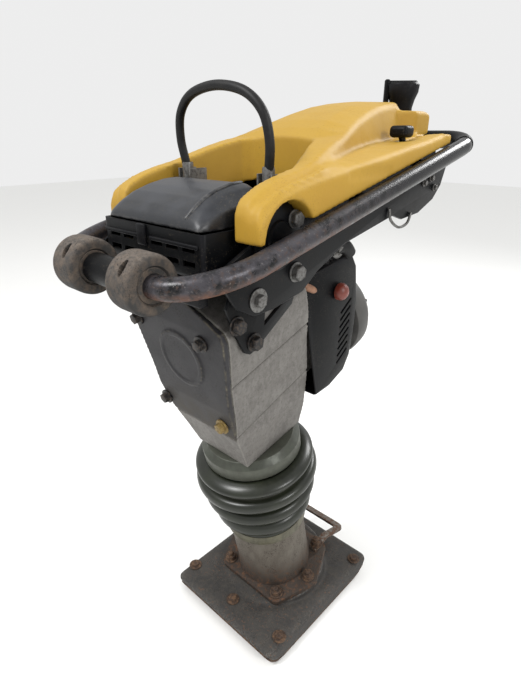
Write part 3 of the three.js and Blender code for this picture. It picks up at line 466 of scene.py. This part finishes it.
# ---------- mesh tools ----------
def new_piece(name, bm, look, body, bevel=0.0):
    mesh = bpy.data.meshes.new(name)
    bmesh.ops.recalc_face_normals(bm, faces=bm.faces)
    bm.to_mesh(mesh)
    bm.free()
    piece = bpy.data.objects.new(name, mesh)
    bpy.context.scene.collection.objects.link(piece)
    mesh.shade_smooth()
    mesh.set_sharp_from_angle(angle=SHARP_ANGLE)
    mesh.materials.append(look.mat)
    if bevel:
        soften(piece, bevel)
    if body:
        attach(piece, body)
    return piece


def soften(obj, width):
    mod = obj.modifiers.new("edge", "BEVEL")
    mod.width = width
    mod.segments = 2
    mod.limit_method = "ANGLE"
    mod.angle_limit = BEVEL_ANGLE
    mod.harden_normals = True


def dress(node, look, bevel=0.0, remesh=0.0, rounds=0):
    """Gives a CAD node its material and breaks its edges, without moving a vertex of its mesh."""
    obj = NODES[node]
    obj.data.materials.clear()
    obj.data.materials.append(look.mat)
    obj.data.shade_smooth()
    weld = obj.modifiers.new("weld", "WELD")
    weld.merge_threshold = WELD_GAP
    if remesh:
        mod = obj.modifiers.new("skin", "REMESH")
        mod.mode = "VOXEL"
        mod.voxel_size = remesh
        mod.use_smooth_shade = True
        if rounds:
            smooth = obj.modifiers.new("round", "SMOOTH")
            smooth.factor = 0.5
            smooth.iterations = rounds
        return
    if bevel:
        soften(obj, bevel)
    cut = obj.modifiers.new("sharp", "EDGE_SPLIT")
    cut.split_angle = SPLIT_ANGLE
    cut.use_edge_sharp = False


def lathe(profile, steps=64, matrix=None):
    """A closed skin of [radius, height] rows about Z, in metres."""
    bm = bmesh.new()
    rings = []
    for k in range(steps):
        a = 2 * math.pi * k / steps
        rings.append([bm.verts.new((r * math.cos(a), r * math.sin(a), h)) for r, h in profile])
    for k in range(steps):
        here, there = rings[k], rings[(k + 1) % steps]
        for i in range(len(profile) - 1):
            bm.faces.new((here[i], there[i], there[i + 1], here[i + 1]))
        if profile[0][0] > 1e-6 and profile[0] != profile[-1]:
            bm.faces.new((here[-1], there[-1], there[0], here[0]))
    bmesh.ops.remove_doubles(bm, verts=bm.verts, dist=1e-6)
    if matrix is not None:
        bm.transform(matrix)
    return bm


def turn_to(at, axis, spin=0.0):
    """Puts +Z along axis, at a point."""
    quat = Vector(axis).normalized().to_track_quat("Z", "Y")
    return Matrix.Translation(at) @ quat.to_matrix().to_4x4() @ Matrix.Rotation(spin, 4, "Z")


def spline(points, steps=8):
    """Catmull-Rom points through a list."""
    pts = [Vector(p) for p in points]
    out = []
    for i in range(len(pts) - 1):
        a = pts[max(i - 1, 0)]
        b, c = pts[i], pts[i + 1]
        d = pts[min(i + 2, len(pts) - 1)]
        for k in range(steps):
            t = k / steps
            out.append(
                0.5
                * (
                    2 * b
                    + (c - a) * t
                    + (2 * a - 5 * b + 4 * c - d) * t * t
                    + (3 * b - a - 3 * c + d) * t**3
                )
            )
    out.append(pts[-1])
    return out


def bar(points, radius, sides=16, closed=False):
    """A round bar along points, in metres, with rounded ends unless closed."""
    bm = bmesh.new()
    n = len(points)
    rings = []
    normal = Vector((0, 0, 1))
    for i, p in enumerate(points):
        before = points[(i - 1) % n] if closed or i else p
        after = points[(i + 1) % n] if closed or i < n - 1 else p
        along = (after - before).normalized()
        if abs(along.dot(normal)) > 0.985:
            normal = Vector((1, 0, 0))
        across = along.cross(normal).normalized()
        normal = across.cross(along).normalized()
        ring = []
        for k in range(sides):
            a = 2 * math.pi * k / sides
            ring.append(bm.verts.new(p + radius * (math.cos(a) * across + math.sin(a) * normal)))
        rings.append(ring)
    for i in range(n if closed else n - 1):
        here, there = rings[i], rings[(i + 1) % n]
        for k in range(sides):
            m = (k + 1) % sides
            bm.faces.new((here[k], here[m], there[m], there[k]))
    if not closed:
        bm.faces.new(rings[0])
        bm.faces.new(list(reversed(rings[-1])))
    return bm


def rounded_box(size, radius, matrix, segments=3):
    bm = bmesh.new()
    bmesh.ops.create_cube(bm, size=1.0)
    bmesh.ops.scale(bm, vec=size, verts=bm.verts)
    bmesh.ops.bevel(bm, geom=bm.edges, offset=radius, segments=segments, affect="EDGES", profile=0.5)
    bm.transform(matrix)
    return bm


def hex_bolt(name, at, axis, head, look, body, washer):
    """A hexagon head with its chamfer and washer. head is the width over its corners, in metres."""
    high = head * 0.4
    r = head / 2
    bm = bmesh.new()
    rows = [(r, 0.0), (r, high * 0.8), (r * 0.88, high)]
    rings = [
        [bm.verts.new((q * math.cos(math.pi * k / 3), q * math.sin(math.pi * k / 3), h)) for k in range(6)]
        for q, h in rows
    ]
    for a, b in zip(rings, rings[1:]):
        for k in range(6):
            m = (k + 1) % 6
            bm.faces.new((a[k], a[m], b[m], b[k]))
    bm.faces.new(list(reversed(rings[0])))
    bm.faces.new(rings[-1])
    disc = lathe([(0, -0.0004), (washer / 2, -0.0004), (washer / 2, -0.0022), (0, -0.0022)], 28)
    mesh = bpy.data.meshes.new("washer")
    disc.to_mesh(mesh)
    disc.free()
    bm.from_mesh(mesh)
    bpy.data.meshes.remove(mesh)
    bmesh.ops.translate(bm, vec=(0, 0, 0.0022), verts=bm.verts)
    bm.transform(turn_to(at, axis, 0.3))
    return new_piece(name, bm, look, body, bevel=0.0004)


# ---------- the machine ----------
def dress_frame(looks):
    for node in ("crankcase", "engine_block"):
        dress(node, looks["cast_alloy"], remesh=0.0016, rounds=1)
    dress("front_cover", looks["cover"], remesh=0.0016, rounds=2)
    dress("ram_cylinder", looks["ram"], bevel=0.0012)
    dress("guide_ring", looks["ring"], bevel=0.001)
    dress("starter_housing", looks["starter"], bevel=0.0015)
    dress("fuel_tank", looks["yellow_plastic"], remesh=0.0028, rounds=4)
    dress("shoe", looks["shoe_composite"], remesh=0.0026, rounds=10)
    dress("sole_plate", looks["worn_steel"], bevel=0.0015)
    dress("tow_loop", looks["loop"], bevel=0.0026)
    dress("filter_lid", looks["lid"], remesh=0.0026, rounds=6)
    dress("filter_box", looks["black_plastic"], bevel=0.0012)
    dress("engine_shroud", looks["black_plastic"], bevel=0.0015)
    for node in ("console", "fuel_cap", "throttle_lever", "starter_grip"):
        dress(node, looks["black_plastic"], bevel=0.0015)
    for node in ("mount_bracket_right", "mount_bracket_left", "side_plate_right", "side_plate_left"):
        dress(node, looks["black_paint"], bevel=0.001)
    for node in ("rubber_mount_right", "rubber_mount_left"):
        dress(node, looks["mount_rubber"], bevel=0.001)
    for node in (
        "ram_cap", "spring_lower", "spring_upper", "ram_piston", "crank_gear", "connecting_rod",
        "clutch_pinion",
    ):
        dress(node, looks["machined_steel"])
    dress("muffler", looks["muffler_steel"], bevel=0.0012)
    dress("lift_bracket", looks["zinc"], bevel=0.0008)
    dress("primer_bulb", looks["primer_rubber"])
    for i in range(1, 6):
        dress(f"plow_bolt_{i}", looks["worn_steel"], bevel=0.0006)
    for i in range(1, 7):
        dress(f"flange_nut_{i}", looks["worn_steel"], bevel=0.0006)
    for i in range(1, 5):
        dress(f"cover_bolt_{i}", looks["brass"] if i == 4 else looks["dark_bolt"], bevel=0.0006)


def handle_points():
    """The handle tube's centre line, as the CAD draws it."""
    flat = []

    def arc(cx, cy, rx, ry, start, end):
        for i in range(25):
            a = math.radians(start + (end - start) * i / 24)
            flat.append((cx + rx * math.cos(a), cy + ry * math.sin(a)))

    arc(0.0845, -0.200, 0.0695, 0.094, -90, 0)
    arc(0.099, 0.277, 0.055, 0.055, 0, 90)
    arc(-0.099, 0.277, 0.055, 0.055, 90, 180)
    arc(-0.0845, -0.200, 0.0695, 0.094, 180, 270)
    return [Vector((x, y, tube_z(y))) for x, y in flat]


def make_handle(looks):
    tube = new_piece(
        "handle_tube_skin", bar(handle_points(), TUBE_RADIUS, 32, True), looks["tube"], None,
    )
    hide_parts("handle_tube")
    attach(tube, "handle")
    rows = [
        (0.0131, -0.0367), (0.0175, -0.0367), (0.0185, -0.0355), (0.0185, 0.0355), (0.0175, 0.0367),
        (0.0131, 0.0367),
    ]
    sleeve = lathe(rows, 48, turn_to((0, FRONT_BAR_Y, tube_z(FRONT_BAR_Y)), (1, 0, 0)))
    new_piece("front_sleeve", sleeve, looks["black_plastic"], "handle")
    # Plastic grip pushed over the rear bar, a little thicker than the tube.
    path = [p for p in handle_points() if p.y > 0.293]
    middle = sorted(path, key=lambda p: -p.x)
    new_piece(
        "rear_grip", bar(middle, 0.0148, 28), looks["black_plastic"], "handle",
        bevel=0.001,
    )


def press_slot(bm, centre, angle, across, depth=0.007):
    """Presses an oval slot into a roller whose axis runs along X through centre."""
    for v in bm.verts:
        y, z = v.co.y - centre.y, v.co.z - centre.z
        radius = math.hypot(y, z)
        off = (math.atan2(z, y) - angle + math.pi) % (2 * math.pi) - math.pi
        inside = (off / 0.27) ** 2 + ((v.co.x - centre.x - across) / 0.0042) ** 2
        if radius > 0.030 and inside < 1:
            v.co.y = centre.y + y * (1 - depth / radius)
            v.co.z = centre.z + z * (1 - depth / radius)


def roller_profile():
    r = [(0.0141, -0.0205), (0.0195, -0.0205), (0.0205, -0.0195), (0.0225, -0.0222), (0.0295, -0.0225)]
    r += [(0.0325, -0.0212), (0.0343, -0.0185)] + [(0.035, 0.001 * h) for h in range(-14, 15)]
    r += [(0.0343, 0.0185)]
    return r + [
        (0.0325, 0.0212), (0.0295, 0.0225), (0.0225, 0.0222), (0.0205, 0.0195), (0.0195, 0.0205),
        (0.0141, 0.0205),
    ]


def make_rollers(looks):
    for side, name in ((1, "right"), (-1, "left")):
        centre = Vector((side * ROLLER_X, FRONT_BAR_Y, tube_z(FRONT_BAR_Y)))
        bm = lathe(roller_profile(), 180, turn_to(centre, (1, 0, 0)))
        for turn in (0, math.pi):
            press_slot(bm, centre, math.radians(139) + turn, 0.006)
        piece = new_piece(f"roller_{name}_skin", bm, looks["roller"], None)
        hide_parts(f"roller_{name}")
        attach(piece, f"front_roller_{name}")


FOLDS = [
    (77, 168), (77, 188), (74.4, 194), (74.4, 200), (84, 204), (91, 212), (92, 221), (88, 230), (80, 236),
    (80, 243), (92, 247), (101, 254), (103, 262), (98, 271), (87, 276), (87, 284), (100, 288), (109, 294),
    (110.6, 303), (106, 311), (95.3, 315), (95.3, 322), (104, 326), (106, 334), (98, 341), (88, 344.7),
]
FOLDS_INSIDE = [
    (85, 344.7), (101, 333), (91.5, 322), (91.5, 316), (106, 302), (83, 284), (83, 278), (98, 261),
    (76.5, 243), (76.5, 237), (88, 218), (71.2, 200), (71.2, 194), (72.8, 189), (72.8, 168),
]


def make_bellows(looks):
    outer = spline([(r, 0, s) for r, s in FOLDS], 4)
    rows = [(p.x / 1000, p.z / 1000) for p in outer] + [(r / 1000, s / 1000) for r, s in FOLDS_INSIDE]
    piece = new_piece("bellows_skin", lathe(rows, 96, LEG), looks["bellows_rubber"], None)
    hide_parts("bellows")
    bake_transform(piece)
    # Flat cuff clamped round the ram, paler than the folds above it.
    band = [
        (0.0768, 0.1684), (0.0779, 0.1684), (0.0783, 0.170), (0.0783, 0.186), (0.0779, 0.1876),
        (0.0768, 0.1876),
    ]
    new_piece("boot_band", lathe(band, 96, LEG), looks["cuff"], "foot")
    screw = rounded_box(
        (0.022, 0.010, 0.012), 0.002,
        LEG @ Matrix.Translation((-0.0565, 0.0590, 0.1785)) @ Matrix.Rotation(-0.80, 4, "Z"),
    )
    new_piece("boot_band_screw", screw, looks["zinc"], "foot")


def make_bail(looks):
    x, y, z = 0.078, -0.110, 0.836
    half = [(-x, y, z - 0.008), (-x - 0.002, y - 0.001, z + 0.016), (-x - 0.006, y - 0.005, z + 0.048)]
    half += [(-x + 0.002, y - 0.009, z + 0.080), (-x + 0.030, y - 0.012, z + 0.102)]
    path = half + [(0, y - 0.013, z + 0.110)] + [(-a, b, c) for a, b, c in reversed(half)]
    hose = new_piece(
        "bail_hose", bar(spline(path, 8), 0.006, 20), looks["mount_rubber"], None
    )
    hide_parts("lifting_bail")
    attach(hose, "bail")
    for side in (1, -1):
        rows = [
            (0.0063, -0.012), (0.0078, -0.012), (0.008, -0.010), (0.008, 0.015), (0.0074, 0.018),
            (0.0063, 0.018),
        ]
        ferrule = lathe(rows, 28, Matrix.Translation((side * x, y, z)))
        new_piece(
            f"bail_ferrule_{'right' if side > 0 else 'left'}", ferrule, looks["zinc"], "bail",
        )
        pin = lathe(
            [(0, -0.0135), (0.003, -0.0135), (0.003, 0.0135), (0, 0.0135)], 16,
            turn_to((side * x, y, z - 0.014), (1, 0, 0)),
        )
        new_piece(
            f"bail_pin_{'right' if side > 0 else 'left'}", pin, looks["zinc"], "handle"
        )


def make_fastenings(looks):
    """Bolts seen on the plates, brackets and covers."""
    zinc = looks["zinc"]
    for side, tag in ((1, "right"), (-1, "left")):
        out = (side, 0, 0)
        face = PLATE_FACE * side
        hex_bolt(
            f"plate_bolt_a_{tag}", (face, -0.108, 0.730), out, 0.021, zinc, "handle",
            washer=0.026,
        )
        hex_bolt(
            f"plate_bolt_b_{tag}", (face, -0.178, 0.709), out, 0.017, zinc, "handle",
            washer=0.030,
        )
        rows = [
            (0, 0), (0.0408, 0), (0.0408, 0.004), (0.038, 0.006), (0.020, 0.006), (0.018, 0.009),
            (0, 0.009),
        ]
        disc = lathe(rows, 56, turn_to((0.1245 * side, -0.148, 0.781), out))
        new_piece(f"arch_disc_{tag}", disc, looks["black_paint"], "handle")
        place = (0.1306 * side, -0.122, 0.799)
        hex_bolt(f"plate_bolt_c_{tag}", place, out, 0.019, zinc, "handle", washer=0.022)
        hex_bolt(
            f"bracket_bolt_d_{tag}", (BRACKET_FACE * side, -0.196, 0.676), out, 0.020,
            looks["dark_bolt"], "upper", washer=0.025,
        )
        hex_bolt(
            f"bracket_bolt_e_{tag}", (BRACKET_FACE * side, -0.166, 0.645), out, 0.020,
            looks["dark_bolt"], "upper", washer=0.025,
        )


def make_hoses(looks):
    """Breather and intake pieces seen between the crankcase, the engine and the handle."""
    tan = [leg(66, 78, 660), leg(80, 84, 646), leg(86, 96, 634), leg(80, 112, 622)]
    new_piece("breather_hose", bar(spline(tan, 8), 0.006, 16), looks["tan"], "upper")
    # Ribbed intake boot from the engine up to the tray under the tank.
    foot, top = leg(46, 142, 652), Vector((0.046, 0.048, 0.776))
    rows, count = [(0.0, 0.0)], 9
    length = (top - foot).length
    for i in range(count):
        h = length * i / count
        rows += [
            (0.036, h + 0.0004), (0.039, h + length / count * 0.35), (0.036, h + length / count * 0.75)
        ]
    rows += [(0.036, length), (0.0, length)]
    boot = new_piece(
        "intake_boot", lathe(rows, 48, turn_to(foot, top - foot)), looks["mount_rubber"], None,
    )
    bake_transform(boot)
    # Clamp and fuel line at the carburettor.
    at = leg(74, 176, 660)
    clamp = [(0.0120, -0.005), (0.0131, -0.005), (0.0131, 0.005), (0.0120, 0.005)]
    along = LEG.to_3x3() @ Vector((0.5, 0.5, 0.7))
    new_piece(
        "fuel_line_clamp", lathe(clamp, 36, turn_to(at, along)), looks["zinc"], "upper"
    )
    line = [leg(66, 168, 640), leg(72, 174, 656), leg(80, 180, 668), leg(84, 190, 664), leg(84, 200, 650)]
    new_piece("fuel_line", bar(spline(line, 8), 0.0118, 20), looks["mount_rubber"], "upper")
    new_piece(
        "clamp_screw", bar([leg(88, 166, 666), leg(88, 188, 672)], 0.0035, 12), looks["zinc"], "upper",
    )


def make_trim(looks):
    """Small mouldings and wires on the handle and the engine."""
    black = looks["black_plastic"]
    # Black plate under the filter box: partly the black moulding there, partly a dark sheet standing for
    # the shade between the tube and the crankcase top.
    flat = Matrix.Translation((0, -0.231, 0.7205))
    new_piece(
        "filter_apron_shade_block", rounded_box((0.176, 0.014, 0.034), 0.003, flat), black, "handle",
    )
    # Moulded panels either side of the filter box's hinge.
    for i, x in enumerate((-0.052, 0.048)):
        frame_at = Matrix.Translation((x, -0.2405, 0.7765))
        new_piece(
            f"filter_rib_{i + 1}", rounded_box((0.090, 0.004, 0.005), 0.0015, frame_at), black,
            "handle",
        )
    hinge = Matrix.Translation((-0.012, -0.2415, 0.779))
    new_piece(
        "filter_clip", rounded_box((0.016, 0.006, 0.026), 0.002, hinge), black, "handle",
    )
    # Crease down the lid's right side.
    ridge = [
        (0.064, -0.232, 0.8035), (0.067, -0.221, 0.8145), (0.066, -0.204, 0.8240),
        (0.064, -0.184, 0.8310),
    ]
    ridge += [(0.063, -0.160, 0.8356), (0.062, -0.142, 0.8362)]
    path = spline([Vector(p) for p in ridge], 6)
    new_piece("lid_crease", bar(path, 0.0028, 12), looks["lid"], "handle")
    for side, tag in ((1, "right"), (-1, "left")):
        # Wire loop under the tray, and screws through the side plate.
        loop = [(0.1262 * side, 0.112, 0.786), (0.1275 * side, 0.118, 0.768), (0.1275 * side, 0.145, 0.754)]
        loop += [(0.1275 * side, 0.172, 0.757), (0.1262 * side, 0.184, 0.772)]
        new_piece(
            f"wire_loop_{tag}", bar(spline(loop, 8), 0.0022, 10), looks["zinc"], "handle",
        )
        for k, (y, z) in enumerate(
            ((0.222, 0.816), (0.246, 0.822), (0.262, 0.806), (0.060, 0.800), (-0.050, 0.770))
        ):
            place = (PLATE_FACE * side, y, z)
            hex_bolt(
                f"plate_screw_{k + 1}_{tag}", place, (side, 0, 0), 0.009, looks["zinc"], "handle",
                washer=0.012,
            )


def make_starter(looks):
    """Vent ribs on the starter's dome, and a pressed guard over the muffler."""
    out = LEG.to_3x3() @ Vector((0, 1, 0))
    for i in range(10):
        angle = math.radians(36 * i + 18)
        if 95 < 36 * i + 18 < 150:
            continue
        low = LEG @ Vector((0.044 * math.cos(angle), 0.2815, 0.507 + 0.044 * math.sin(angle)))
        high = LEG @ Vector((0.074 * math.cos(angle), 0.2665, 0.507 + 0.074 * math.sin(angle)))
        path = [low.lerp(high, k / 4) for k in range(5)]
        new_piece(f"starter_rib_{i + 1}", bar(path, 0.0032, 10), looks["starter"], "upper")
    for i in range(4):
        path = [LEG @ Vector((-0.1425, 0.106 + 0.070 * k, 0.500 + 0.025 * i)) for k in (0, 0.5, 1)]
        new_piece(
            f"muffler_rib_{i + 1}", bar(path, 0.003, 10), looks["muffler_steel"], "upper",
        )


set_camera()
LOOKS = make_looks()
set_stage()
dress_frame(LOOKS)
make_handle(LOOKS)
make_rollers(LOOKS)
make_bellows(LOOKS)
make_bail(LOOKS)
make_fastenings(LOOKS)
make_hoses(LOOKS)
make_trim(LOOKS)
make_starter(LOOKS)
